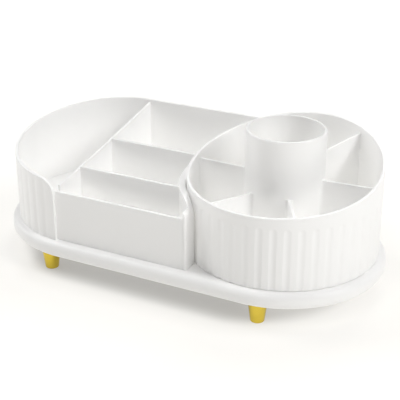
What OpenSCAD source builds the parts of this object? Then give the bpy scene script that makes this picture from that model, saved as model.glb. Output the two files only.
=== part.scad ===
// Makeup organizer on a raised tray: a fixed bin with compartments at one end and,
// at the other, a round divided cup with a brush tube that turns on a ball race.
// Millimetres, +Z up. The origin is on the table below the middle of the tray,
// +X runs from the bin to the cup and -Y is the front.

/* [Tray] */
// Distance from the middle of the tray to the axis of each round end
end_offset = 79.75; // [79:0.25:100]
// Outer radius of the bin's round end and of the cup
end_r = 75; // [70:0.5:77]
// Width of the tray's lip outside the bin and the cup
tray_margin = 6; // [5:0.5:14]
// Height of the tray's edge
tray_t = 12.7; // [11:0.1:20]
// Rounding of the tray's edge
tray_edge_r = 5; // [2:0.25:5.25]
// Thickness of the tray's top plate
tray_plate_t = 2.5; // [2:0.1:4]
// Thickness of the cover under the tray
cover_t = 2; // [1.6:0.1:3]
// Width of the ledge that the cover rests on
cover_ledge = 1.4; // [1:0.1:3]

/* [Feet] */
// Height of a foot
foot_h = 16.8; // [8:0.1:30]
// Radius of a foot at the top
foot_top_r = 7.5; // [6:0.25:7.5]
// Radius of a foot at the bottom
foot_bottom_r = 5.5; // [4:0.25:7]
// Distance from a foot's axis to the edge of the tray
foot_inset = 12.6; // [12.5:0.1:20]
// Turn of the right feet about the axis of the round end, away from the front or the back
foot_turn_right = 8; // [0:1:40]
// The same turn of the left feet
foot_turn_left = 12; // [0:1:40]
// Radius of the studs that hold the feet
stud_r = 2; // [1.5:0.25:2.5]

/* [Bin] */
// Thickness of the bin's walls
wall_t = 2.4; // [1.8:0.1:3]
// Height of the bin's rim above the tray, midway between front and back
rim_h = 62.8; // [60:0.2:75]
// Slope of the rim, in degrees, rising to the back
rim_slope = 8.5; // [4:0.5:10]
// Height above the tray of the sloping plane where the plates end, midway as well
step_h = 58.2; // [48:0.2:59]
// Slope of that plane, in degrees
step_slope = 9.5; // [6:0.5:10]
// Rounding at the front end of the outer wall
rim_corner_r = 13; // [6:0.5:18]
// Turn from the front to the end of the outer wall, in degrees
wall_stop = 2.5; // [1:0.5:8]
// Height of the bin's floor above the tray
floor_lift = 4; // [3:0.5:8]
// Thickness of the bin's floor
floor_t = 2; // [1.5:0.1:3]
// Height of the front panel above the tray
panel_h = 42; // [30:0.5:45]
// Thickness of the bin's dividing plates
plate_t = 2; // [1.4:0.1:3]
// Distance of the rear partition behind the middle
rear_part_y = 7.1; // [-8:0.1:40]
// Distance of the front partition before the middle
front_part_y = 40.5; // [20:0.1:55]
// Clearance around pieces that fit in others
fit_gap = 0.1; // [0.05:0.05:0.3]

/* [Curved wall beside the cup] */
// Gap between the cup and the curved wall
cup_gap = 0.6; // [0.5:0.1:3]
// Thickness of the curved wall
waist_t = 5.3; // [2:0.1:5.5]
// Lowest height of the curved wall's rim above the tray
waist_h = 53; // [50:0.5:56]
// Distance before the middle where that rim starts to rise to the back
waist_front_y = 25; // [0:1:40]
// Distance from the cup's axis to the post at the wall's front end
post_reach = 47.4; // [42:0.2:50]
// Rounding at the post's top
waist_corner_r = 13; // [4:0.5:16]

/* [Cup] */
// Thickness of the cup's wall
cup_t = 2.2; // [1.4:0.1:3]
// Gap between the tray and the cup
cup_lift = 0.4; // [0.3:0.1:3]
// Height of the cup's rim above the tray at its axis
cup_rim_h = 66.6; // [62:0.1:75]
// Slope of the rim at the axis, in degrees
scoop_slope = 11.2; // [6:0.2:12]
// Radius of the hollow curve that cuts the rim
scoop_r = 550; // [400:10:900]
// Turn of the rim's high side from the back, in degrees
scoop_turn = -7; // [-180:1:180]
// Thickness of the cup's floor
cup_floor_t = 2.6; // [2:0.1:4]

/* [Brush tube and cup dividers] */
// Outer radius of the brush tube
tube_r = 30.5; // [24:0.5:36]
// Thickness of the brush tube
tube_t = 2; // [1.4:0.1:3]
// Height of the brush tube above the tray
tube_h = 97.5; // [85:0.5:130]
// Thickness of a divider
fin_t = 2; // [1.4:0.1:3]
// Turn of the dividers, in degrees
fin_turn = -1; // [-30:1:30]
// Step from the rim down to the outer end of a divider
fin_drop = 5; // [2:0.5:15]
// Height of the dividers above the tray at the tube, on average
fin_tube_h = 60.5; // [40:0.5:64]
// Slope of the divider tops around the tube, in degrees
fin_tube_slope = 18; // [0:1:22]

/* [Flutes] */
// Number of flutes around a full turn
flute_n = 46; // [24:2:56]
// Depth of a flute
flute_depth = 0.5; // [0.2:0.1:0.7]
// Radius of a flute
flute_r = 7; // [4:0.5:9]
// Height of the cup's flutes above the tray
cup_flute_h = 49.5; // [30:0.5:51]
// Step from the bin's rim down to its flutes
bin_flute_drop = 3; // [3:0.5:20]
// Turn of the cup's flutes, in degrees
cup_flute_turn = -2.9; // [-4:0.1:4]
// Direction of the bin's first flute about the axis of its round end, in degrees
bin_flute_start = 103.4; // [95:0.1:110]
// Least angle between the last of them and the end of the outer wall, in degrees
flute_end_gap = 4; // [3:0.5:8]

/* [Ball race] */
// Radius of the circle of balls
race_r = 49; // [44:0.5:51]
// Radius of a ball
ball_r = 3; // [2.5:0.25:3]
// Number of balls
ball_n = 16; // [8:1:20]
// Clearance between a ball and its grooves
race_gap = 0.3; // [0.2:0.05:0.5]
// Height of the race between the tray and the cup's floor
race_h = 9.5; // [9:0.1:12]
// Reach of a race ring past the balls on its plain side
race_rim = 8; // [6:0.5:9]
// Reach of a race ring past the balls on its screwed side
race_flange = 13; // [12:0.5:14]
// Number of screws in each race ring
race_screw_n = 4; // [3:1:6]

/* [Spindle and screws] */
// Radius of the spindle
spindle_r = 4; // [3:0.25:6]
// Running clearance of the spindle in the cup
spindle_gap = 0.05; // [0.02:0.01:0.1]
// Height of the cup's hub
hub_h = 8; // [5:0.5:12]
// Width of the bosses around screws, studs and the spindle
boss_t = 3; // [2:0.5:4]
// Radius of the washer over the hub
washer_r = 9; // [8:0.5:12]
// Thickness of the washer
washer_t = 1.2; // [0.8:0.1:2]
// Radius of the screws
screw_r = 1.4; // [1.2:0.1:1.6]
// Radius of the screw heads
head_r = 2.8; // [2.4:0.1:3]
// Height of the screw heads
head_h = 1.2; // [1:0.1:1.4]

/* [Hidden] */
$fn = 96;
FOOT_SIDES = [[-1, -1], [1, -1], [-1, 1], [1, 1]];

white = [0.96, 0.96, 0.95];
gold = [0.86, 0.66, 0.24];
steel = [0.72, 0.73, 0.75];
grey = [0.55, 0.56, 0.58];

big = 600;                  // reaches past the whole part
eps = 0.5;                  // overlap of a cut past a face

bin_x = -end_offset;
cup_x = end_offset;
tray_hw = end_r + tray_margin;
tray_z = foot_h + tray_t;   // top of the tray

cover_hw = tray_hw - tray_edge_r - cover_ledge;
cavity_hw = cover_hw - cover_ledge;
cavity_z = tray_z - tray_plate_t;
cover_top = foot_h + cover_t;

// Height of the bin's rim and of its plates at y
function rim_z(y) = tray_z + rim_h + y * tan(rim_slope);
function step_z(y) = tray_z + step_h + y * tan(step_slope);

bin_floor_z = tray_z + floor_lift;
bin_floor_top = bin_floor_z + floor_t;
wall_end_dir = 270 - wall_stop;
wall_end_x = bin_x - end_r * sin(wall_stop);
panel_y = -(end_r - wall_t);            // outer face of the front panel
panel_in_y = panel_y + wall_t;          // inner face of the front panel
panel_x = wall_end_x - wall_t;          // left end of the front panel, behind the wall

// Direction where the rounding at the end of the outer wall starts
rim_corner_dir = wall_end_dir - asin(rim_corner_r / end_r);

waist_r = end_r + cup_gap;
waist_out_r = waist_r + waist_t;
waist_z = tray_z + waist_h;
waist_back = 180 - asin(end_r / waist_out_r);
// Radius that lifts the curved wall's rim to the rim of the back wall
waist_rise = rim_z(end_r) - waist_z;
waist_run = end_r + waist_front_y;
waist_sweep_r = (waist_rise * waist_rise + waist_run * waist_run) / (2 * waist_rise);

post_x = cup_x - post_reach;            // right face of the post
post_in_x = post_x - wall_t;

cup_z = tray_z + cup_lift;
cup_floor_z = tray_z + race_h;
cup_floor_top = cup_floor_z + cup_floor_t;
cup_in_r = end_r - cup_t;
tube_z = tray_z + tube_h;

// Height of the cup's rim at a distance s from its axis towards the high side
scoop_s = -scoop_r * sin(scoop_slope);
scoop_z = tray_z + cup_rim_h + scoop_r * cos(scoop_slope);
function cup_rim_z(s) = scoop_z - sqrt(scoop_r * scoop_r - (s - scoop_s) * (s - scoop_s));

hub_r = spindle_r + boss_t;
hub_top = cup_floor_z + hub_h;
spindle_top = hub_top + fit_gap;
spindle_screw_len = 10;

ball_z = tray_z + race_h / 2;
ring_t = race_h / 2 - ball_r / 3;       // thickness of a race ring
groove_r = ball_r + race_gap;
cage_t = ball_r / 2;
cage_half_w = ball_r * 1.5;             // from the circle of balls to the cage's edge
ring_screw_reach = race_flange - head_r - 1;   // from the balls to the screws

foot_reach = tray_hw - foot_inset;
function foot_turn(side) = side[0] < 0 ? foot_turn_left : foot_turn_right;
function foot_xy(side) = [side[0] * (end_offset + foot_reach * sin(foot_turn(side))),
                          side[1] * foot_reach * cos(foot_turn(side))];

cover_screw_reach = cavity_hw - 3 * boss_t;
COVER_SCREWS = [for (s = [-1, 1]) each [[s * end_offset / 2, cover_screw_reach],
                                        [s * end_offset / 2, -cover_screw_reach],
                                        [s * (end_offset + cover_screw_reach), 0]]];
BIN_SCREWS = [for (x = [-end_r / 2, end_r / 3]) for (y = [-end_r / 3, end_r / 3]) [bin_x + x, y]];

// ---- shared shapes ----

// Flat outline of the tray and of what follows its shape
module stadium(hw) {
    for (x = [bin_x, cup_x]) translate([x, 0]) circle(hw);
    square([2 * end_offset, 2 * hw], center = true);
}

// Half of the tray's cross-section, from its middle outwards
module tray_half_section() {
    square([tray_hw - tray_edge_r, tray_t]);
    translate([0, tray_edge_r]) square([tray_hw, tray_t - 2 * tray_edge_r]);
    for (z = [tray_edge_r, tray_t - tray_edge_r])
        translate([tray_hw - tray_edge_r, z]) circle(tray_edge_r);
}

// Screw standing on its head, with its tip up
module screw(len) {
    cylinder(h = head_h, r = head_r);
    cylinder(h = len, r = screw_r);
}

// Copies at equal angles around the cup's axis
module around_cup(n, r) {
    for (i = [0:n - 1]) translate([cup_x, 0, 0]) rotate(360 * i / n) translate([r, 0, 0]) children();
}

// Cutter for one flute in a wall of outer radius end_r, in direction a about the wall's axis
module flute(a, z0, z1) {
    rotate(a) translate([end_r + flute_r - flute_depth, 0, z0]) cylinder(h = z1 - z0, r = flute_r);
}

// Cutter that rounds the top corner at the end of a curved wall. The wall's axis is at the
// origin, it ends in direction a at radius r0 to r1, and z is the height of its rim there.
module end_rounding(a, r0, r1, z, corner_r) {
    rotate(a) translate([r0, -corner_r, z - corner_r]) difference() {
        cube([r1 - r0, corner_r + eps, big]);
        translate([-eps, 0, 0]) rotate([0, 90, 0]) cylinder(h = r1 - r0 + 2 * eps, r = corner_r);
    }
}

// Flat quarter-plane on the far side of direction a from the origin
module beyond(a) {
    rotate(a) square(big);
}

// ---- tray, cover and feet ----

// Outlines of the bosses under the tray, or of their bores where extra is 0
module boss_outlines(extra) {
    for (side = FOOT_SIDES) translate(foot_xy(side)) circle(stud_r + extra);
    for (p = COVER_SCREWS) translate(p) circle(screw_r + extra);
    translate([cup_x, 0]) circle(spindle_r + extra);
}

module tray_shell() {
    color(white) difference() {
        translate([0, 0, foot_h]) union() {
            for (x = [bin_x, cup_x]) translate([x, 0, 0])
                rotate_extrude() intersection() {
                    tray_half_section();
                    square([tray_hw, tray_t]);
                }
            for (m = [0, 1]) mirror([0, m, 0]) translate([bin_x, 0, 0])
                rotate([90, 0, 90]) linear_extrude(2 * end_offset) tray_half_section();
        }
        translate([0, 0, foot_h - eps]) linear_extrude(cover_t + eps) stadium(cover_hw);
        translate([0, 0, foot_h]) linear_extrude(cavity_z - foot_h) difference() {
            stadium(cavity_hw);
            boss_outlines(boss_t);
        }
        translate([0, 0, foot_h]) linear_extrude(cavity_z - foot_h) boss_outlines(0);
        translate([cup_x, 0, foot_h]) cylinder(h = tray_t + eps, r = spindle_r);
        for (p = BIN_SCREWS) translate([p[0], p[1], foot_h]) cylinder(h = tray_t + eps, r = screw_r);
        around_cup(race_screw_n, race_r - ring_screw_reach)
            translate([0, 0, foot_h]) cylinder(h = tray_t + eps, r = screw_r);
    }
}

module base_cover() {
    color(white) difference() {
        translate([0, 0, foot_h]) linear_extrude(cover_t) difference() {
            stadium(cover_hw - fit_gap);
            for (side = FOOT_SIDES) translate(foot_xy(side)) circle(stud_r);
            for (p = COVER_SCREWS) translate(p) circle(screw_r);
        }
        for (p = COVER_SCREWS) translate([p[0], p[1], foot_h - eps])
            cylinder(h = head_h + eps, r = head_r);
    }
}

module cover_screws() {
    color(steel) for (p = COVER_SCREWS) translate([p[0], p[1], foot_h]) screw(cavity_z - foot_h);
}

module foot(side) {
    color(gold) translate(foot_xy(side)) difference() {
        cylinder(h = foot_h, r1 = foot_bottom_r, r2 = foot_top_r);
        translate([0, 0, foot_h / 2]) cylinder(h = foot_h, r = stud_r);
    }
}

module foot_studs() {
    color(steel) for (side = FOOT_SIDES) translate(foot_xy(side))
        translate([0, 0, foot_h / 2]) cylinder(h = cavity_z - foot_h / 2, r = stud_r);
}

// ---- bin ----

// Space above the bin's sloping rim
module above_rim() {
    translate([-big, 0, rim_z(0)]) rotate([rim_slope, 0, 0])
        translate([0, -big, 0]) cube([2 * big, 2 * big, big]);
}

// Space above the curved wall's rim
module above_waist() {
    translate([-big, -waist_front_y, waist_z + waist_sweep_r]) rotate([0, 90, 0])
        cylinder(h = 2 * big, r = waist_sweep_r, $fn = 480);
    translate([-big, -waist_front_y - big, waist_z]) cube([2 * big, big, big]);
}

// Fluted wall around the bin's round end
module outer_wall() {
    translate([bin_x, 0, 0]) difference() {
        translate([0, 0, tray_z]) cylinder(h = rim_z(end_r) - tray_z, r = end_r);
        translate([0, 0, tray_z - eps]) {
            cylinder(h = big, r = end_r - wall_t);
            linear_extrude(big) {
                beyond(wall_end_dir);
                translate([0, -big]) square([big, 2 * big]);
            }
        }
        for (a = [bin_flute_start:360 / flute_n:wall_end_dir - flute_end_gap])
            flute(a, tray_z - eps, rim_z(end_r * sin(a)) - bin_flute_drop);
        end_rounding(wall_end_dir, end_r - 2 * wall_t, end_r + wall_t,
            rim_z(end_r * sin(rim_corner_dir)), rim_corner_r);
    }
}

// Straight wall along the back, up to the back end of the curved wall
module back_wall() {
    translate([bin_x, end_r - wall_t, tray_z]) cube([2 * end_offset, wall_t, rim_z(end_r) - tray_z]);
}

// Wall that follows the cup, with a post that closes the front corner
module curved_wall() {
    translate([cup_x, 0, 0]) difference() {
        translate([0, 0, tray_z]) linear_extrude(rim_z(end_r) - tray_z) {
            difference() {
                circle(waist_out_r);
                circle(waist_r);
                translate([-post_reach, -big]) square([big, big]);
                translate([0, -eps]) square([big, big]);
                beyond(waist_back - 90);
            }
            difference() {
                translate([-post_reach - wall_t, panel_y]) square([wall_t, -panel_y]);
                circle(waist_r);
            }
        }
        above_waist();
        translate([-post_reach, 0, 0]) end_rounding(-90, 0, big, waist_z, waist_corner_r);
    }
}

// Outline of the floor, ending inside the walls and behind the front panel
module floor_outline() {
    middle_r = end_r - wall_t / 2;
    difference() {
        union() {
            translate([bin_x, 0]) circle(middle_r);
            translate([bin_x, panel_in_y]) square([2 * end_offset, middle_r - panel_in_y]);
        }
        translate([panel_x - fit_gap, panel_in_y + fit_gap - big]) square([2 * big, big]);
        translate([post_x - wall_t / 2, -big]) square(big);
    }
}

module bin_shell() {
    color(white) difference() {
        union() {
            difference() {
                union() {
                    outer_wall();
                    back_wall();
                    translate([0, 0, bin_floor_z]) linear_extrude(floor_t) floor_outline();
                    for (p = BIN_SCREWS) translate([p[0], p[1], tray_z])
                        cylinder(h = floor_lift + eps, r = screw_r + boss_t);
                }
                above_rim();
                translate([cup_x, 0, tray_z - eps]) cylinder(h = big, r = waist_out_r - wall_t / 2);
            }
            curved_wall();
        }
        for (p = BIN_SCREWS) translate([p[0], p[1], tray_z - eps])
            cylinder(h = floor_lift + floor_t, r = screw_r);
    }
}

module bin_screws() {
    color(steel) for (p = BIN_SCREWS) translate([p[0], p[1], cavity_z - head_h])
        screw(head_h + tray_plate_t + floor_lift + floor_t - eps);
}

module front_panel() {
    color(white) translate([0, 0, tray_z]) linear_extrude(panel_h) difference() {
        translate([panel_x, panel_y]) square([post_in_x - fit_gap - panel_x, wall_t]);
        // Left end, tucked behind the outer wall
        difference() {
            translate([panel_x - wall_t, panel_y - wall_t])
                square([wall_end_x + fit_gap - panel_x + wall_t, 3 * wall_t]);
            translate([bin_x, 0]) circle(end_r - wall_t - fit_gap);
        }
    }
}

module long_divider() {
    y0 = panel_in_y + fit_gap;
    y1 = end_r - wall_t - fit_gap;
    color(white) translate([bin_x - plate_t / 2, 0, 0]) rotate([90, 0, 90]) linear_extrude(plate_t)
        polygon([[y0, bin_floor_top], [y1, bin_floor_top], [y1, step_z(y1)], [y0, step_z(y0)]]);
}

// Cross partition in the bin at y, from the long divider to the curved wall
module partition(y) {
    color(white) translate([0, 0, bin_floor_top]) linear_extrude(step_z(y) - bin_floor_top)
        difference() {
            translate([bin_x + plate_t / 2 + fit_gap, y - plate_t / 2])
                square([2 * end_offset, plate_t]);
            translate([cup_x, 0]) circle(waist_out_r + fit_gap);
        }
}

// ---- ball race and spindle ----

// One race ring standing on z = 0, with its screws on the side given by s
module race_ring(s) {
    r0 = race_r - (s < 0 ? race_flange : race_rim);
    r1 = race_r + (s < 0 ? race_rim : race_flange);
    difference() {
        cylinder(h = ring_t, r = r1);
        translate([0, 0, -eps]) cylinder(h = ring_t + 2 * eps, r = r0);
        translate([0, 0, race_h / 2]) rotate_extrude() translate([race_r, 0]) circle(groove_r);
        for (i = [0:race_screw_n - 1]) rotate(360 * i / race_screw_n)
            translate([race_r + s * ring_screw_reach, 0, 0]) {
                translate([0, 0, -eps]) cylinder(h = ring_t + 2 * eps, r = screw_r);
                translate([0, 0, ring_t - head_h]) cylinder(h = head_h + eps, r = head_r);
            }
    }
}

module lower_race() {
    color(grey) translate([cup_x, 0, tray_z]) race_ring(-1);
}

module lower_race_screws() {
    color(steel) around_cup(race_screw_n, race_r - ring_screw_reach)
        translate([0, 0, tray_z + ring_t]) mirror([0, 0, 1]) screw(ring_t + tray_plate_t);
}

module upper_race() {
    color(grey) translate([cup_x, 0, cup_floor_z]) mirror([0, 0, 1]) race_ring(1);
}

module upper_race_screws() {
    color(steel) around_cup(race_screw_n, race_r + ring_screw_reach)
        translate([0, 0, cup_floor_z - ring_t]) screw(ring_t + cup_floor_t - eps);
}

module ball_cage() {
    color(grey) difference() {
        translate([cup_x, 0, ball_z - cage_t / 2]) difference() {
            cylinder(h = cage_t, r = race_r + cage_half_w);
            translate([0, 0, -eps]) cylinder(h = cage_t + 2 * eps, r = race_r - cage_half_w);
        }
        around_cup(ball_n, race_r) translate([0, 0, ball_z - cage_t])
            cylinder(h = 2 * cage_t, r = ball_r + fit_gap);
    }
}

module race_balls() {
    color(steel) around_cup(ball_n, race_r) translate([0, 0, ball_z]) sphere(ball_r);
}

module spindle() {
    color(steel) translate([cup_x, 0, 0]) difference() {
        translate([0, 0, cover_top]) cylinder(h = spindle_top - cover_top, r = spindle_r);
        translate([0, 0, spindle_top - spindle_screw_len]) cylinder(h = big, r = screw_r);
    }
}

module spindle_washer() {
    color(steel) translate([cup_x, 0, spindle_top]) difference() {
        cylinder(h = washer_t, r = washer_r);
        translate([0, 0, -eps]) cylinder(h = washer_t + 2 * eps, r = screw_r);
    }
}

module spindle_screw() {
    color(steel) translate([cup_x, 0, spindle_top + washer_t + head_h]) mirror([0, 0, 1])
        screw(spindle_screw_len + washer_t + head_h);
}

// ---- cup ----

// Fluted cup with a scooped rim, a raised floor and a hub for the spindle
module cup_shell() {
    color(white) translate([cup_x, 0, 0]) difference() {
        union() {
            difference() {
                translate([0, 0, cup_z]) cylinder(h = cup_rim_z(end_r) - cup_z, r = end_r);
                translate([0, 0, cup_z - eps]) cylinder(h = cup_floor_z - cup_z + eps, r = cup_in_r);
                translate([0, 0, cup_floor_top]) cylinder(h = big, r = cup_in_r);
            }
            translate([0, 0, cup_floor_z]) cylinder(h = hub_h, r = hub_r + spindle_gap);
        }
        translate([0, 0, cup_floor_z - eps]) cylinder(h = big, r = spindle_r + spindle_gap);
        rotate(scoop_turn) translate([0, scoop_s, scoop_z]) rotate([0, 90, 0])
            cylinder(h = big, r = scoop_r, center = true, $fn = 720);
        for (i = [0:flute_n - 1])
            flute(cup_flute_turn + 360 * i / flute_n, cup_z - eps, tray_z + cup_flute_h);
        for (i = [0:race_screw_n - 1]) rotate(360 * i / race_screw_n)
            translate([race_r + ring_screw_reach, 0, cup_floor_z - eps])
                cylinder(h = cup_floor_t, r = screw_r);
    }
}

module brush_tube() {
    color(white) translate([cup_x, 0, cup_floor_top]) difference() {
        cylinder(h = tube_z - cup_floor_top, r = tube_r);
        translate([0, 0, -eps]) cylinder(h = big, r = tube_r - tube_t);
    }
}

// Divider from the brush tube to the cup's wall, number i around the cup
module cup_divider(i) {
    r0 = tube_r + fit_gap;
    r1 = cup_in_r - fit_gap;
    from_high = fin_turn + 60 * i - 90 - scoop_turn;
    z0 = tray_z + fin_tube_h + r0 * tan(fin_tube_slope) * cos(from_high);
    z1 = cup_rim_z(r1 * cos(from_high)) - fin_drop;
    color(white) translate([cup_x, 0, 0]) rotate(fin_turn + 60 * i) translate([0, fin_t / 2, 0])
        rotate([90, 0, 0]) linear_extrude(fin_t)
            polygon([[r0, cup_floor_top], [r1, cup_floor_top], [r1, z1], [r0, z0]]);
}

tray_shell();
base_cover();
cover_screws();
foot(FOOT_SIDES[0]);  // foot_front_left
foot(FOOT_SIDES[1]);  // foot_front_right
foot(FOOT_SIDES[2]);  // foot_rear_left
foot(FOOT_SIDES[3]);  // foot_rear_right
foot_studs();
bin_shell();
bin_screws();
front_panel();
long_divider();
partition(rear_part_y);  // rear_partition
partition(-front_part_y);  // front_partition
spindle();
lower_race();
lower_race_screws();
ball_cage();
race_balls();
upper_race();
upper_race_screws();
cup_shell();
brush_tube();
cup_divider(0);  // cup_divider_right
cup_divider(1);  // cup_divider_rear_right
cup_divider(2);  // cup_divider_rear_left
cup_divider(3);  // cup_divider_left
cup_divider(4);  // cup_divider_front_left
cup_divider(5);  // cup_divider_front_right
spindle_washer();
spindle_screw();
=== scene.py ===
"""The looks of a makeup organizer: a fixed bin and a turning cup on a raised tray.

Shapes are worked out in millimetres, in the frame's axes, and become meshes in metres. A
direction is an angle in degrees about the axis of a round end, from +X towards the back.
"""
import math
from typing import NamedTuple

import bmesh
import bpy
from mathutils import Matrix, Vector


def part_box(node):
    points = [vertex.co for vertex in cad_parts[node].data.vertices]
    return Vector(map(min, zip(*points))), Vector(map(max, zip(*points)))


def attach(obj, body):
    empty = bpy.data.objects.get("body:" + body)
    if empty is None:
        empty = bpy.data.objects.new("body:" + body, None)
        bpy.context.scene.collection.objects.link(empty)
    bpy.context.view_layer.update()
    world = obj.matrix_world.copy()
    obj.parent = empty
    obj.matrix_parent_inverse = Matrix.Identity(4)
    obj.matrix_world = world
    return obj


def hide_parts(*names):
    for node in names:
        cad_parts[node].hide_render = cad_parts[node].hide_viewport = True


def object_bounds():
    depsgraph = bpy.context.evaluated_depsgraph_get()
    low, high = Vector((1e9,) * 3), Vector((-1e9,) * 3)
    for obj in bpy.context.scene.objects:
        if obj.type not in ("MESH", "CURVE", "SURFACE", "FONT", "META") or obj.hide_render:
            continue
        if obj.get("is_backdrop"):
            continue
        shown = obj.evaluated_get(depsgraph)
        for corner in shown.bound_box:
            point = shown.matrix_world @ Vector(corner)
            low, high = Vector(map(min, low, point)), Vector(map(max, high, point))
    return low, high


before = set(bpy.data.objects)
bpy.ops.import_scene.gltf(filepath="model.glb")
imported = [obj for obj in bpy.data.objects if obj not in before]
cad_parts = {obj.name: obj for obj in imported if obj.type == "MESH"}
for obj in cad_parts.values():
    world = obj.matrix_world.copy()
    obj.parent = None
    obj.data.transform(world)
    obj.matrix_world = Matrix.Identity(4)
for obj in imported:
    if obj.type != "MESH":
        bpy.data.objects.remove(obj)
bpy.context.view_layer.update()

MM = 0.001

# ---- sizes, as in the CAD source, in millimetres and degrees ----
# tray
END_X = 79.75                     # the axes of the round ends are at x = -END_X and END_X
END_R = 75.0                      # outer radius of the bin's round end and of the cup
TRAY_HW = END_R + 6.0             # half width of the tray
TRAY_BOTTOM = 16.8                # the height of the feet
TRAY_Z = TRAY_BOTTOM + 12.7       # top of the tray
TRAY_EDGE = 5.0                   # rounding of the tray's edge
COVER_TOP = TRAY_BOTTOM + 2.0
COVER_HW = TRAY_HW - TRAY_EDGE - 1.4       # half width of the cover's seat
CAVITY_HW = COVER_HW - 1.4        # half width of the cavity above the cover
CAVITY_Z = TRAY_Z - 2.5           # underside of the tray's top plate

# feet
FOOT_TOP_R, FOOT_BOTTOM_R = 7.5, 5.5
FOOT_EDGE = 1.0                   # rounding of a foot's lower edge

# bin
WALL = 2.4                        # thickness of the walls
PLATE = 2.0                       # thickness of the dividing plates
RIM_Z, RIM_SLOPE = TRAY_Z + 62.8, 8.5      # the rim's height midway from front to back
WALL_END_DIR = 270 - 2.5          # direction of the outer wall's front end
WALL_CORNER = 13.0                # rounding of its top there
BIN_FLOOR_Z, BIN_FLOOR_TOP = TRAY_Z + 4.0, TRAY_Z + 6.0
PANEL_Y = WALL - END_R            # outer face of the front panel
PANEL_IN_Y = PANEL_Y + WALL
PANEL_TOP = TRAY_Z + 42.0
REAR_PART_Y, FRONT_PART_Y = 7.1, -40.5     # middles of the two partitions
# tops of the dividing plates: a height midway, a rise and a bend towards the back
PLATE_TOP, PLATE_RISE, PLATE_BEND = TRAY_Z + 57.6, 0.168, 0.00022
PARTITION_LIFT = 0.6              # the partitions' tops above the long divider's

# curved wall beside the cup, and the post at its front end
WAIST_IN_R = END_R + 0.6
WAIST_OUT_R = WAIST_IN_R + 5.3
WAIST_Z = TRAY_Z + 53.0           # the lowest height of its rim
WAIST_FRONT_Y = -25.0             # where the rim starts to rise to the back
WAIST_CORNER = 13.0               # rounding of its top at the front end
WAIST_END = 1.0                   # rounding of its back end
POST_X = END_X - 47.4             # right face of the post
POST_CORNER, POST_EDGE = 2.0, 0.3  # rounding of the post's front and back corners

# cup
CUP_Z = TRAY_Z + 0.4              # bottom of the skirt
CUP_EDGE = 0.3                    # rounding of the skirt's lower edge
CUP_IN_R = END_R - 2.2            # inside the cup's wall
CUP_FLOOR_Z = TRAY_Z + 9.5
CUP_FLOOR_TOP = CUP_FLOOR_Z + 2.6
CUP_FILLET = 2.0                  # rounding between the floor and the wall
SCOOP_R = 550.0                   # radius of the hollow curve that cuts the rim
SCOOP_SLOPE = 11.2                # slope of the rim at the axis
SCOOP_DIR = 90 - 7.0              # direction of the rim's high side
SCOOP_RIM = TRAY_Z + 66.6         # height of the rim at the axis
BORE_R = 4.05                     # the hub's bore round the spindle
HUB_R = BORE_R + 3.0
HUB_TOP = CUP_FLOOR_Z + 8.0
HUB_FILLET, HUB_EDGE = 1.0, 0.5

# brush tube and cup dividers
TUBE_R = 30.5
TUBE_IN_R = TUBE_R - 2.0
TUBE_TOP = TRAY_Z + 97.5          # the highest point of the organizer
TUBE_EDGE_W, TUBE_EDGE_H = 0.9, 1.6        # width and height of the rounding outside the tube's rim
TUBE_EDGE_IN = 0.3                # rounding inside it
FIN_T = 2.0                       # thickness of a divider
FIN_TURN = -1.0                   # direction of the first divider
FIN_DROP = 5.0                    # step from the rim down to a divider's outer end
FIN_TUBE_Z, FIN_TUBE_SLOPE = TRAY_Z + 60.5, 18.0   # heights at the tube, on average, and their slope
FIN_TUBE_FILLET, FIN_WALL_FILLET = 2.5, 1.5        # flares at its two ends

# flutes
FLUTES = 46                       # around a full turn
FLUTE_PITCH = 360 / FLUTES
FLUTE_DEPTH, FLUTE_R = 0.5, 7.0
FLUTE_HALF = math.sqrt(2 * FLUTE_R * FLUTE_DEPTH - FLUTE_DEPTH ** 2)   # half a flute's width
CUP_FLUTE_TOP = TRAY_Z + 49.5     # where the cup's flutes end, in round tops
CUP_FLUTE_DIR = -2.9              # direction of one of the cup's flutes
BIN_FLUTE_DIR = 259.9             # direction of one of the bin's
BIN_FLUTE_DROP = 3.0              # step from the bin's rim down to its flutes
BIN_FLUTE_END = 2.5               # no flute is cut nearer to the outer wall's front end, in degrees
FLUTE_FADE = 0.6                  # the cup's flutes fade where the skirt's edge rounds in, over this depth

# edges and joints
EDGE, PLATE_EDGE = 0.35, 0.3      # rounding of the walls' and the plates' top edges
EDGE_SHARE = 0.49                 # the most of a wall's thickness that one rounded edge takes
SINK = 0.15                       # how far a plate's ends go into what they meet, so that no gap shows
BIN_FLOOR_SINK = 0.6              # how far the bin's floor goes into its walls
GAP = 0.1                         # clearance between the floor and the front panel
AXIS_R = 0.01                     # radius at which a foot's section ends, next to its axis

# fineness of the meshes
TRAY_END_STEPS = 96               # steps round each end of the tray
WALL_ROWS = 30                    # rows up the bin's walls
STEPS_PER_FLUTE_BIN, STEPS_PER_FLUTE_CUP = 14, 16
CORNER_STEPS, POST_STEPS = 20, 22  # steps in the rounded ends of the outer and the curved wall
CURVED_WALL_STEPS = 110
BIN_FLOOR_STEPS = 120             # steps in each of the floor's two curved sides
TUBE_COLUMNS, FOOT_COLUMNS = 144, 64
TUBE_ROW = 1.0                    # from the tube's rim to the first row below the rounding inside it
SHARP_ANGLE = 38                  # edges sharper than this are shaded as sharp, in degrees


def sin(a):
    return math.sin(math.radians(a))


def cos(a):
    return math.cos(math.radians(a))


def tan(a):
    return math.tan(math.radians(a))


# ---- meshes ----
def steps(a, b, n):
    """The values from a to b in n equal steps, with both ends."""
    return [a + (b - a) * i / n for i in range(n + 1)]


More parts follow.
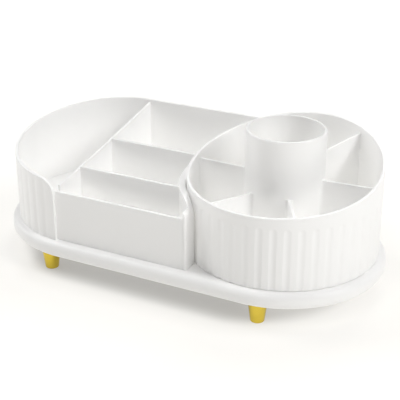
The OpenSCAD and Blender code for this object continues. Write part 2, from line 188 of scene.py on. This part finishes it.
def grid_mesh(name, rows, around=False, ends=False):
    """A welded mesh of quads between rows of points.

    around joins each row's last point to its first, and ends puts a face on the first and on
    the last row.
    """
    n = len(rows[0])
    points = [[c * MM for c in p] for row in rows for p in row]
    faces = []
    for i in range(len(rows) - 1):
        for j in range(n if around else n - 1):
            a, b = i * n + j, i * n + (j + 1) % n
            faces.append((a, b, b + n, a + n))
    if ends:
        faces.append(tuple(range(n)))
        faces.append(tuple(range(len(points) - n, len(points)))[::-1])
    mesh = bpy.data.meshes.new(name)
    mesh.from_pydata(points, [], faces)
    b = bmesh.new()
    b.from_mesh(mesh)
    bmesh.ops.remove_doubles(b, verts=b.verts, dist=2e-6)
    bmesh.ops.dissolve_degenerate(b, edges=b.edges, dist=1e-7)
    bmesh.ops.recalc_face_normals(b, faces=b.faces)
    b.to_mesh(mesh)
    b.free()
    for face in mesh.polygons:
        face.use_smooth = True
    mesh.set_sharp_from_angle(angle=math.radians(SHARP_ANGLE))
    return mesh


def lathe_mesh(name, section, x, y, n):
    """Turns a section about the upright axis at x, y, in n columns.

    section(a) gives its points (radius, z) in direction a.
    """
    rows = []
    for i in range(n):
        a = 360 * i / n
        rows.append([(x + r * cos(a), y + r * sin(a), z) for r, z in section(a)])
    return grid_mesh(name, rows + rows[:1])


class Station(NamedTuple):
    """A cut across a wall, whose rim has rounded edges."""
    left: tuple | Vector       # points on the wall's faces, in plan
    right: tuple | Vector
    left_top: float            # heights of the rim there
    right_top: float
    edge: float = EDGE         # radius of the rim's edges
    steep: float = 1.0         # stretches them downwards where the rim slopes along the wall
    direction: float = None    # given only where the left face may have flutes


def ribbon_mesh(name, stations, z0, rows=1, groove=None):
    """A wall that stands on the height z0, along its stations.

    groove gives the depth of the left face's groove at a station and a height.
    """
    rounding = steps(0, 90, 4)
    out = []
    for s in stations:
        left, right = Vector(s.left), Vector(s.right)
        across = (right - left).normalized()
        edge = min(s.edge, (right - left).length * EDGE_SHARE)
        line = []
        for z in steps(z0, s.left_top - edge * s.steep, rows):
            p = left + across * (groove(s, z) if groove else 0.0)
            line.append((p.x, p.y, z))
        for a in rounding[1:]:
            p = left + across * edge * (1 - cos(a))
            line.append((p.x, p.y, s.left_top - edge * s.steep * (1 - sin(a))))
        for a in rounding[:0:-1]:
            p = right - across * edge * (1 - cos(a))
            line.append((p.x, p.y, s.right_top - edge * s.steep * (1 - sin(a))))
        for z in steps(s.right_top - edge * s.steep, z0, rows):
            line.append((right.x, right.y, z))
        out.append(line)
    return grid_mesh(name, out, around=True, ends=True)


def piece(name, mesh, body, material, node):
    """A piece that rides on a body, stands for a CAD node and wears a material."""
    o = bpy.data.objects.new(name, mesh)
    bpy.context.scene.collection.objects.link(o)
    mesh.materials.append(material)
    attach(o, body)
    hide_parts(node)


# ---- points and curves ----
def arc(cx, cz, r, a0, a1, n=4):
    """Points (x, z) on an arc."""
    return [(cx + r * cos(a), cz + r * sin(a)) for a in steps(a0, a1, n)]


def bin_point(r, direction):
    return (-END_X + r * cos(direction), r * sin(direction))


def cup_point(r, direction):
    return (END_X + r * cos(direction), r * sin(direction))


def back_dir(r, y):
    """Direction about the cup's axis where radius r crosses y at the back."""
    return 180 - math.degrees(math.asin(y / r))


def front_dir(r, x):
    """Direction about the cup's axis where radius r crosses x at the front."""
    return 180 + math.degrees(math.acos((END_X - x) / r))


def stadium(hw):
    """The tray's outline at half width hw, as points in plan."""
    loop = []
    for side in (1, -1):
        for a in steps(-90, 90, TRAY_END_STEPS):
            loop.append((side * (END_X + hw * cos(a)), side * hw * sin(a)))
    return loop


def bend(a, corner, b):
    """A short curve from a to b that rounds the corner between them."""
    return [tuple((1 - k) ** 2 * p + 2 * k * (1 - k) * c + k * k * q for p, c, q in zip(a, corner, b))
            for k in steps(0, 1, 5)]


def inset(d, r):
    """How far an end rounded by r lies inside its full width, at a distance d from the end."""
    return r - math.sqrt(r * r - (r - d) ** 2) if d < r else 0.0


def corner_drop(d, r):
    """How far a rim has come down at a distance d from its end, rounded by r, and how steep it is."""
    if d >= r:
        return 0.0, 1.0
    least_cosine = 0.3    # keeps the steepness bounded at the very end
    return inset(d, r), 1 / max(least_cosine, math.sqrt(max(0.0, 1 - (1 - d / r) ** 2)))


def across_flute(direction, flute_dir):
    """Distance along a wall of radius END_R to its nearest flute, where one is in flute_dir."""
    return math.radians((direction - flute_dir + FLUTE_PITCH / 2) % FLUTE_PITCH - FLUTE_PITCH / 2) * END_R


def flute(across, below_top):
    """Depth of a round-ended groove at a distance across it and a height below its top."""
    away = math.hypot(across, max(0.0, FLUTE_HALF - below_top))
    if away >= FLUTE_HALF:
        return 0.0
    return math.sqrt(FLUTE_R ** 2 - away ** 2) - (FLUTE_R - FLUTE_DEPTH)


# ---- materials ----
BUMP_DEPTH = 0.3 * MM
NOISE_RANGE = (0.3, 0.7)          # where nearly all of a noise factor lies


def new_material(name):
    """A material, its node tree and its shader."""
    m = bpy.data.materials.new(name)
    m.use_nodes = True
    nt = m.node_tree
    return m, nt, nt.nodes["Principled BSDF"]


def noise(nt, scale, detail=3.0, stretch=None):
    """A noise texture in object space, whose scale counts per metre."""
    place = nt.nodes.new("ShaderNodeTexCoord")
    tex = nt.nodes.new("ShaderNodeTexNoise")
    tex.inputs["Scale"].default_value = scale
    tex.inputs["Detail"].default_value = detail
    source = place.outputs["Object"]
    if stretch:
        mapping = nt.nodes.new("ShaderNodeMapping")
        mapping.inputs["Scale"].default_value = stretch
        nt.links.new(source, mapping.inputs["Vector"])
        source = mapping.outputs["Vector"]
    nt.links.new(source, tex.inputs["Vector"])
    return tex.outputs["Fac"]


def ramp(nt, value, start, end, low, high, smooth=False):
    """Maps value from the range start to end onto the range low to high."""
    n = nt.nodes.new("ShaderNodeMapRange")
    if smooth:
        n.interpolation_type = "SMOOTHSTEP"
    for key, limit in (("From Min", start), ("From Max", end), ("To Min", low), ("To Max", high)):
        n.inputs[key].default_value = limit
    nt.links.new(value, n.inputs["Value"])
    return n.outputs["Result"]


def tinted(nt, fac, dark, light):
    """A colour between two, by a noise factor."""
    n = nt.nodes.new("ShaderNodeMix")
    n.data_type = "RGBA"
    n.inputs["A"].default_value = (*dark, 1)
    n.inputs["B"].default_value = (*light, 1)
    nt.links.new(fac, n.inputs["Factor"])
    return n.outputs["Result"]


def bumped(nt, shader, fac, strength):
    """Bumps a shader's surface by a noise factor."""
    n = nt.nodes.new("ShaderNodeBump")
    n.inputs["Strength"].default_value = strength
    n.inputs["Distance"].default_value = BUMP_DEPTH
    nt.links.new(fac, n.inputs["Height"])
    nt.links.new(n.outputs["Normal"], shader.inputs["Normal"])


def surface(name, dark, light, rough, metallic=0.0, grain=900, patch=45, bump=0.05, stretch=None):
    """A moulded or turned surface: slow changes of colour and gloss, and a fine grain.

    patch and grain are the noise scales of the slow changes and of the grain, and stretch
    draws the grain out. The gloss changes over the range rough.
    """
    m, nt, shader = new_material(name)
    nt.links.new(tinted(nt, noise(nt, patch, 4.0), dark, light), shader.inputs["Base Color"])
    nt.links.new(ramp(nt, noise(nt, patch * 3), *NOISE_RANGE, *rough), shader.inputs["Roughness"])
    bumped(nt, shader, noise(nt, grain, 2.0, stretch), bump)
    shader.inputs["Metallic"].default_value = metallic
    return m


WHITE = surface("moulded_white", (0.963, 0.960, 0.952), (0.983, 0.980, 0.972), (0.34, 0.42))
GOLD = surface("polished_gold", (0.62, 0.46, 0.045), (0.80, 0.61, 0.10), (0.08, 0.14),
               metallic=1.0, grain=260, patch=60, bump=0.04)
STEEL = surface("bright_steel", (0.58, 0.59, 0.60), (0.68, 0.69, 0.70), (0.24, 0.36),
                metallic=1.0, grain=500, patch=80, bump=0.06, stretch=(1, 1, 14))
GREY = surface("grey_plastic", (0.30, 0.31, 0.32), (0.34, 0.35, 0.36), (0.48, 0.58))


# ---- tray and feet ----
def tray_mesh():
    flat = TRAY_HW - TRAY_EDGE    # half width of the flat top
    section = arc(flat, TRAY_Z - TRAY_EDGE, TRAY_EDGE, 90, 0, 8)
    section += arc(flat, TRAY_BOTTOM + TRAY_EDGE, TRAY_EDGE, 0, -90, 8)
    # the seat of the cover below, and the cavity above it
    section += [(COVER_HW, TRAY_BOTTOM), (COVER_HW, COVER_TOP)]
    section += [(CAVITY_HW, COVER_TOP), (CAVITY_HW, CAVITY_Z)]
    rings = [[(x, y, z) for x, y in stadium(hw)] for hw, z in section]
    return grid_mesh("tray", rings, around=True, ends=True)


def foot_mesh(x, y):
    section = [(AXIS_R, 0.0)] + arc(FOOT_BOTTOM_R - FOOT_EDGE, FOOT_EDGE, FOOT_EDGE, -90, 0)
    section += list(zip(steps(FOOT_BOTTOM_R, FOOT_TOP_R, 6), steps(FOOT_EDGE, TRAY_BOTTOM, 6)))[1:]
    section.append((AXIS_R, TRAY_BOTTOM))
    return lathe_mesh("foot", lambda a: section, x, y, FOOT_COLUMNS)


# ---- bin ----
# directions where the curved wall's outer radius meets the back wall's outer and inner faces
BACK_DIR, MEET_DIR = back_dir(WAIST_OUT_R, END_R), back_dir(WAIST_OUT_R, END_R - WALL)
END_TURN = math.degrees(WAIST_END / WAIST_IN_R)    # how far the rounding of its back end reaches


def rim_z(y):
    return RIM_Z + y * tan(RIM_SLOPE)


def waist_rim_z(y):
    """Height of the curved wall's rim: level at the front, then swept up to the back wall's rim."""
    lift, run = rim_z(END_R) - WAIST_Z, END_R - WAIST_FRONT_Y
    sweep = (lift ** 2 + run ** 2) / (2 * lift)
    back = max(0.0, y - WAIST_FRONT_Y)
    return WAIST_Z + sweep - math.sqrt(sweep ** 2 - back ** 2)


def plate_top(y):
    return PLATE_TOP + PLATE_RISE * y + PLATE_BEND * y * y


def wall_station(rim, left, right, end_distance=math.inf, corner=0.0, direction=None):
    """A station of a wall whose rim has the height rim(y), and whose top is rounded by corner at its end."""
    down, steep = corner_drop(end_distance, corner)
    return Station(left, right, rim(left[1]) - down, rim(right[1]) - down, EDGE, steep, direction)


def outer_wall():
    """Stations from the outer wall's front end, round the bin, to the start of the back wall."""
    length = math.radians(WALL_END_DIR - 90) * END_R
    per_flute = math.radians(FLUTE_PITCH) * END_R
    n = round((length - WALL_CORNER) / per_flute * STEPS_PER_FLUTE_BIN)
    distances = [WALL_CORNER * (1 - cos(a)) for a in steps(0, 90, CORNER_STEPS)]
    distances += steps(WALL_CORNER, length, n)[1:]
    out = []
    for d in distances:
        a = WALL_END_DIR - math.degrees(d / END_R)
        left = bin_point(END_R - inset(d, EDGE), a)
        right = bin_point(END_R - WALL + inset(d, EDGE), a)
        out.append(wall_station(rim_z, left, right, d, WALL_CORNER, a))
    return out


def back_wall():
    """Stations along the back, up to the rounding of the curved wall's end."""
    left_x = cup_point(WAIST_OUT_R, BACK_DIR)[0] - WAIST_END
    right_x = cup_point(WAIST_OUT_R, MEET_DIR)[0] - WAIST_END
    lefts = [(x, END_R) for x in steps(-END_X, left_x, 12)]
    rights = [(x, END_R - WALL) for x in steps(-END_X, right_x, 12)]
    return [wall_station(rim_z, left, right) for left, right in zip(lefts[1:], rights[1:])]


def curved_wall_end():
    """Stations round the curved wall's back end, a flat face with two rounded corners."""
    outer, outer_end, inner_end, inner = [
        cup_point(r, BACK_DIR)
        for r in (WAIST_OUT_R, WAIST_OUT_R - WAIST_END, WAIST_IN_R + WAIST_END, WAIST_IN_R)]
    lefts = bend((outer[0] - WAIST_END, END_R), outer, outer_end)
    lefts += bend(inner_end, inner, cup_point(WAIST_IN_R, BACK_DIR + END_TURN))
    meet_x = cup_point(WAIST_OUT_R, MEET_DIR)[0]
    out = []
    for k, left in zip(steps(-1, 1, len(lefts) - 1), lefts):
        if k < 0:
            right = (meet_x + k * WAIST_END, END_R - WALL)
        else:
            right = cup_point(WAIST_OUT_R, MEET_DIR + k * END_TURN)
        out.append(wall_station(waist_rim_z, left, right))
    return out[1:]


def curved_wall():
    """Stations along the cup, up to where the rounding of the front end starts."""
    faces = []
    for r, start in ((WAIST_IN_R, BACK_DIR), (WAIST_OUT_R, MEET_DIR)):
        end = front_dir(r, POST_X - WAIST_CORNER)
        faces.append([cup_point(r, a) for a in steps(start + END_TURN, end, CURVED_WALL_STEPS)[1:]])
    return [wall_station(waist_rim_z, left, right) for left, right in zip(*faces)]


def post():
    """Stations of the front end, where a post reaches from beside the cup to the panel's plane."""
    distances = {round(WAIST_CORNER * (1 - cos(a)), 4) for a in steps(0, 90, POST_STEPS)}
    step = 0.001    # the wall's right face steps out to the post's within twice this
    out = []
    for d in sorted(distances | {WALL - step, WALL + step}, reverse=True)[1:]:
        x = POST_X - d
        if d > WALL:
            left, right = [cup_point(r, front_dir(r, x)) for r in (WAIST_IN_R, WAIST_OUT_R)]
        else:
            left = (x, -math.sqrt(WAIST_IN_R ** 2 - (END_X - x) ** 2) - inset(d, POST_EDGE))
            right = (x, PANEL_Y + inset(d, POST_CORNER))
        out.append(wall_station(waist_rim_z, left, right, d, WAIST_CORNER))
    return out


def bin_groove(station, z):
    """Depth of the flutes in the outer wall."""
    if station.direction is None or station.direction > WALL_END_DIR - BIN_FLUTE_END:
        return 0.0
    across = across_flute(station.direction, BIN_FLUTE_DIR)
    return flute(across, station.left_top - BIN_FLUTE_DROP - z)


def bin_mesh():
    """All of the bin's walls in one ribbon. Its left face is the outside, then the side by the cup."""
    stations = outer_wall() + back_wall() + curved_wall_end() + curved_wall() + post()
    return ribbon_mesh("bin", stations, TRAY_Z, WALL_ROWS, bin_groove)


def bin_floor_mesh():
    """The floor between the walls and the front panel."""
    wall_r, waist_r = END_R - WALL + BIN_FLOOR_SINK, WAIST_OUT_R - BIN_FLOOR_SINK
    front_y, right_x = PANEL_IN_Y + GAP, POST_X - WALL / 2
    front_left = 180 + math.degrees(math.asin(-front_y / wall_r))
    loop = [bin_point(wall_r, a) for a in steps(front_left, 90, BIN_FLOOR_STEPS)]
    back, front = back_dir(waist_r, wall_r), front_dir(waist_r, right_x)
    loop += [cup_point(waist_r, a) for a in steps(back, front, BIN_FLOOR_STEPS)]
    loop.append((right_x, front_y))
    rings = [[(x, y, z) for x, y in loop] for z in (BIN_FLOOR_Z, BIN_FLOOR_TOP)]
    return grid_mesh("bin_floor", rings, around=True, ends=True)


def front_panel_mesh():
    """The panel, whose left end follows the inside of the outer wall."""
    wall_x = bin_point(END_R, WALL_END_DIR)[0]
    faces = []
    for x in steps(wall_x - WALL, wall_x, 4)[:-1]:
        faces.append((x, -math.sqrt((END_R - WALL + SINK) ** 2 - (x + END_X) ** 2)))
    faces += [(x, PANEL_Y) for x in steps(wall_x, POST_X - WALL + SINK, 24)]
    stations = [Station((x, y), (x, PANEL_IN_Y), PANEL_TOP, PANEL_TOP, PLATE_EDGE) for x, y in faces]
    return ribbon_mesh("front_panel", stations, TRAY_Z, 6)


def plate_mesh(name, a, b, n, lift=0.0):
    """A straight dividing plate from a to b, in n steps."""
    a, b = Vector(a), Vector(b)
    side = Vector((-(b - a).y, (b - a).x)).normalized() * PLATE / 2
    stations = []
    for k in steps(0, 1, n):
        p = a + (b - a) * k
        z = plate_top(p.y) + lift
        stations.append(Station(p + side, p - side, z, z, PLATE_EDGE))
    return ribbon_mesh(name, stations, BIN_FLOOR_TOP)


def long_divider_mesh():
    return plate_mesh("long_divider", (-END_X, PANEL_IN_Y - SINK), (-END_X, END_R - WALL + SINK), 24)


def partition_mesh(y):
    right_x = END_X - math.sqrt((WAIST_OUT_R - 2 * SINK) ** 2 - y ** 2)
    return plate_mesh("partition", (-END_X + PLATE / 2 - SINK, y), (right_x, y), 12, PARTITION_LIFT)


# ---- cup ----
def cup_rim_z(r, direction):
    """Height of the cup's rim, cut by a wide round hollow that slopes up to one side."""
    along = r * cos(direction - SCOOP_DIR)
    middle = -SCOOP_R * sin(SCOOP_SLOPE)
    middle_z = SCOOP_RIM + SCOOP_R * cos(SCOOP_SLOPE)
    return middle_z - math.sqrt(SCOOP_R ** 2 - (along - middle) ** 2)


def cup_section(a):
    """The cup's section in direction a: up the outside, over the rim, and down the inside."""
    rim_out, rim_in = cup_rim_z(END_R, a) - EDGE, cup_rim_z(CUP_IN_R, a) - EDGE
    # the outside's rows lie closer from low to high, where the flutes end
    first, low, high = CUP_Z + 1.5, CUP_FLUTE_TOP - 4, CUP_FLUTE_TOP + 1.5
    heights = steps(first, low, 10) + steps(low, high, 11)[1:] + steps(high, rim_out, 4)[1:]
    outside = arc(END_R - CUP_EDGE, CUP_Z + CUP_EDGE, CUP_EDGE, -90, 0, 3)
    outside += [(END_R, z) for z in heights]
    across = across_flute(a, CUP_FLUTE_DIR)
    line = []
    for r, z in outside:
        faded = (r - END_R + FLUTE_FADE) / FLUTE_FADE
        line.append((r - flute(across, CUP_FLUTE_TOP - z) * faded, z))
    line += arc(END_R - EDGE, rim_out, EDGE, 0, 90)[1:]
    line += arc(CUP_IN_R + EDGE, rim_in, EDGE, 90, 180)
    line += [(CUP_IN_R, z) for z in steps(rim_in, CUP_FLOOR_TOP + CUP_FILLET, 10)[1:]]
    line += arc(CUP_IN_R - CUP_FILLET, CUP_FLOOR_TOP + CUP_FILLET, CUP_FILLET, 0, -90)[1:]
    # the floor's top, the hub, and the floor's underside, with radii between that keep the faces even
    line += [(r, CUP_FLOOR_TOP) for r in (30, 15, HUB_R + HUB_FILLET)]
    line += arc(HUB_R + HUB_FILLET, CUP_FLOOR_TOP + HUB_FILLET, HUB_FILLET, -90, -180, 3)[1:]
    line += arc(HUB_R - HUB_EDGE, HUB_TOP - HUB_EDGE, HUB_EDGE, 0, 90, 3)
    line += [(BORE_R, HUB_TOP)] + [(r, CUP_FLOOR_Z) for r in (BORE_R, 20, 50, CUP_IN_R)]
    return line + [(CUP_IN_R, CUP_Z), line[0]]


def cup_mesh():
    return lathe_mesh("cup", cup_section, END_X, 0, FLUTES * STEPS_PER_FLUTE_CUP)


def tube_mesh():
    section = [(TUBE_R, z) for z in steps(CUP_FLOOR_TOP, TUBE_TOP - TUBE_EDGE_H, 8)]
    for a in steps(0, 90, 8)[1:]:
        section.append((TUBE_R - TUBE_EDGE_W * (1 - cos(a)), TUBE_TOP - TUBE_EDGE_H * (1 - sin(a))))
    section += arc(TUBE_IN_R + TUBE_EDGE_IN, TUBE_TOP - TUBE_EDGE_IN, TUBE_EDGE_IN, 90, 180, 3)
    section += [(TUBE_IN_R, z) for z in steps(TUBE_TOP - TUBE_ROW, CUP_FLOOR_TOP, 8)]
    section.append(section[0])
    return lathe_mesh("brush_tube", lambda a: section, END_X, 0, TUBE_COLUMNS)


def fin_mesh(direction):
    """A divider of the cup, flared where it meets the tube and the cup's wall."""
    r0, r1 = TUBE_R - SINK, CUP_IN_R + SINK
    z0 = FIN_TUBE_Z + r0 * tan(FIN_TUBE_SLOPE) * cos(direction - SCOOP_DIR)
    z1 = cup_rim_z(r1, direction) - FIN_DROP
    flare = [1 - cos(a) for a in (3, 12, 24, 38, 54, 72, 90)]    # along a fillet, closest at the end
    clear = 4    # past both fillets
    radii = [r0 + FIN_TUBE_FILLET * k for k in flare]
    radii += steps(r0 + clear, r1 - clear, 6)
    radii += [r1 - FIN_WALL_FILLET * k for k in flare[::-1]]
    side = Vector((-sin(direction), cos(direction)))
    stations = []
    for r in radii:
        half = FIN_T / 2 + inset(r - r0, FIN_TUBE_FILLET) + inset(r1 - r, FIN_WALL_FILLET)
        z = z0 + (z1 - z0) * (r - r0) / (r1 - r0)
        p = Vector(cup_point(r, direction))
        stations.append(Station(p + side * half, p - side * half, z, z, PLATE_EDGE))
    return ribbon_mesh("cup_divider", stations, CUP_FLOOR_TOP)


# ---- pieces ----
piece("tray_shell.skin", tray_mesh(), "tray", WHITE, "tray_shell")
piece("bin_walls.skin", bin_mesh(), "tray", WHITE, "bin_shell")
piece("bin_floor.skin", bin_floor_mesh(), "tray", WHITE, "bin_shell")
piece("front_panel.skin", front_panel_mesh(), "tray", WHITE, "front_panel")
piece("long_divider.skin", long_divider_mesh(), "tray", WHITE, "long_divider")
piece("rear_partition.skin", partition_mesh(REAR_PART_Y), "tray", WHITE, "rear_partition")
piece("front_partition.skin", partition_mesh(FRONT_PART_Y), "tray", WHITE, "front_partition")
piece("cup_shell.skin", cup_mesh(), "cup", WHITE, "cup_shell")
piece("brush_tube.skin", tube_mesh(), "cup", WHITE, "brush_tube")
for i, side in enumerate(["right", "rear_right", "rear_left", "left", "front_left", "front_right"]):
    node = "cup_divider_" + side
    piece(node + ".skin", fin_mesh(FIN_TURN + 60 * i), "cup", WHITE, node)
for name in ("foot_front_left", "foot_front_right", "foot_rear_left", "foot_rear_right"):
    low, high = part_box(name)
    piece(name + ".skin", foot_mesh(*((low + high) / 2 / MM).xy), "tray", GOLD, name)

# the nodes inside and below keep the CAD's own meshes and wear the scene's materials
for material, nodes in (
        (WHITE, ["base_cover"]),
        (GREY, ["lower_race", "upper_race", "ball_cage"]),
        (STEEL, ["cover_screws", "foot_studs", "bin_screws", "lower_race_screws", "upper_race_screws",
                 "race_balls", "spindle", "spindle_washer", "spindle_screw"])):
    for node in nodes:
        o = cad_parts[node]
        if not o.material_slots:
            o.data.materials.append(material)
        for material_slot in o.material_slots:
            material_slot.material = material


# ---- floor and the shade painted on it, in metres ----
STAGE_HALF = 4.0                  # half the floor's width
STAGE_DARK, STAGE_LIGHT = (0.31, 0.295, 0.26), (0.33, 0.315, 0.28)
STAGE_SCALE = 3.0                 # noise scale of its colour
# the painted shade, a dimmer glow below and around the tray: half the distance of its round ends' axes, its
# middle and their radius
PAINTED_SHADE_HALF, PAINTED_SHADE_X, PAINTED_SHADE_R = 0.069, -0.007, 0.0766
GLOW_NEAR, GLOW_GAIN = 0.69, 0.13          # the glow beside the painted shade, and what it gains far off
PAINTED_SHADE_GLOW_LEFT, PAINTED_SHADE_GLOW_RIGHT = 0.32, 0.42     # the glow in the painted shade, dimmer at the left than at the right


def calc(nt, operation, a, b=0.0):
    """The result of a math node, whose inputs are numbers or other nodes' results."""
    n = nt.nodes.new("ShaderNodeMath")
    n.operation = operation
    for value, socket in zip((a, b), n.inputs):
        if isinstance(value, float):
            socket.default_value = value
        else:
            nt.links.new(value, socket)
    return n.outputs["Value"]


def floor_glow_with_painted_shade(nt):
    """Strength of the floor's glow: a light table, with a soft shade painted into the glow below and around
    the tray.
    """
    place = nt.nodes.new("ShaderNodeTexCoord")
    axes = nt.nodes.new("ShaderNodeSeparateXYZ")
    nt.links.new(place.outputs["Object"], axes.inputs["Vector"])
    x, y = axes.outputs["X"], axes.outputs["Y"]
    from_middle = calc(nt, "ABSOLUTE", calc(nt, "SUBTRACT", x, PAINTED_SHADE_X))
    past_end = calc(nt, "MAXIMUM", calc(nt, "SUBTRACT", from_middle, PAINTED_SHADE_HALF))
    squares = calc(nt, "ADD", calc(nt, "MULTIPLY", past_end, past_end), calc(nt, "MULTIPLY", y, y))
    away = calc(nt, "SUBTRACT", calc(nt, "SQRT", squares), PAINTED_SHADE_R)
    # the painted shade draws in a little at its right and at its left end
    drawn_in = calc(nt, "ADD", ramp(nt, x, 0.06, 0.12, 0.0, 0.006, smooth=True),
                    ramp(nt, x, -0.1, -0.13, 0.0, 0.009, smooth=True))
    away = calc(nt, "ADD", away, drawn_in)
    # the painted shade's edge is a quick fade with a slower one around it
    share = calc(nt, "ADD", ramp(nt, away, -0.009, 0.011, 0.0, 0.77, smooth=True),
                 ramp(nt, away, 0.005, 0.03, 0.0, 0.23, smooth=True))
    # painted shade: the glow below the tray, lower at the left than at the right
    painted_shade_level = ramp(nt, x, 0.06, 0.11, PAINTED_SHADE_GLOW_LEFT, PAINTED_SHADE_GLOW_RIGHT, smooth=True)
    near = calc(nt, "ADD", painted_shade_level, calc(nt, "MULTIPLY", calc(nt, "SUBTRACT", GLOW_NEAR, painted_shade_level), share))
    # the glow keeps rising further off, so the floor is painted darker near the tray
    return calc(nt, "ADD", near, ramp(nt, away, 0.03, 0.2, 0.0, GLOW_GAIN, smooth=True))


def stage_floor():
    half = STAGE_HALF / MM
    mesh = grid_mesh("floor", [[(x, y, 0) for x in (-half, half)] for y in (-half, half)])
    o = bpy.data.objects.new("floor", mesh)
    bpy.context.scene.collection.objects.link(o)
    m, nt, shader = new_material("pale_floor")
    nt.links.new(tinted(nt, noise(nt, STAGE_SCALE), STAGE_DARK, STAGE_LIGHT), shader.inputs["Base Color"])
    shader.inputs["Roughness"].default_value = 0.9
    shader.inputs["Specular IOR Level"].default_value = 0.0
    shader.inputs["Emission Color"].default_value = (1, 1, 1, 1)
    # the floor's glow, with a shade painted into it around the tray
    nt.links.new(floor_glow_with_painted_shade(nt), shader.inputs["Emission Strength"])
    mesh.materials.append(m)
    o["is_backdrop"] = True


# ---- light and camera, in metres ----
LIGHTS_AIM = (0, 0, 0.05)
# name: place, diameter and power in watts
LIGHTS = {
    "top_back": ((0, 1.3, 1.9), 1.0, 15.0),
    "top_front": ((0, -1.3, 1.9), 1.0, 12.3),
    "top_left": ((-1.3, 0, 1.9), 1.0, 13.6),
    "top_right": ((1.3, 0, 1.9), 1.0, 6.1),
    "left": ((-2.2, 0, 0.9), 1.2, 12.3),
    "front_right": ((1.6, -1.6, 0.9), 1.2, 1.6),
    "right": ((2.2, 0, 0.9), 1.2, 3.6),
    "right_high": ((1.9, -0.2, 1.5), 0.8, 18.2),
}
AZIMUTH, ELEVATION = 27.015, 24.508
CAMERA_AIM, CAMERA_DISTANCE = (0.005253, 0.003956, 0.051046), 0.8
LENS, SENSOR = 88.6, 36           # in millimetres


def area_light(name, place, size, energy):
    light = bpy.data.lights.new(name, "AREA")
    light.shape = "DISK"
    light.size = size
    light.energy = energy
    o = bpy.data.objects.new(name, light)
    o.location = place
    o.rotation_euler = (Vector(LIGHTS_AIM) - Vector(place)).to_track_quat("-Z", "Y").to_euler()
    bpy.context.scene.collection.objects.link(o)


stage_floor()
for name, (place, size, energy) in LIGHTS.items():
    area_light(name, place, size, energy)

scene = bpy.context.scene
scene.world = bpy.data.worlds.new("studio")
scene.world.use_nodes = True
scene.world.node_tree.nodes["Background"].inputs["Strength"].default_value = 0.0
scene.view_settings.view_transform = "Standard"
# light goes many times between the white walls
scene.cycles.max_bounces = 24
scene.cycles.diffuse_bounces = 20

camera = bpy.data.cameras.new("camera")
camera.lens = LENS
camera.sensor_width = SENSOR
eye = bpy.data.objects.new("camera", camera)
back = Vector((sin(AZIMUTH) * cos(ELEVATION), -cos(AZIMUTH) * cos(ELEVATION), sin(ELEVATION)))
eye.location = Vector(CAMERA_AIM) + back * CAMERA_DISTANCE
eye.rotation_euler = (-back).to_track_quat("-Z", "Y").to_euler()
scene.collection.objects.link(eye)
scene.camera = eye

low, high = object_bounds()
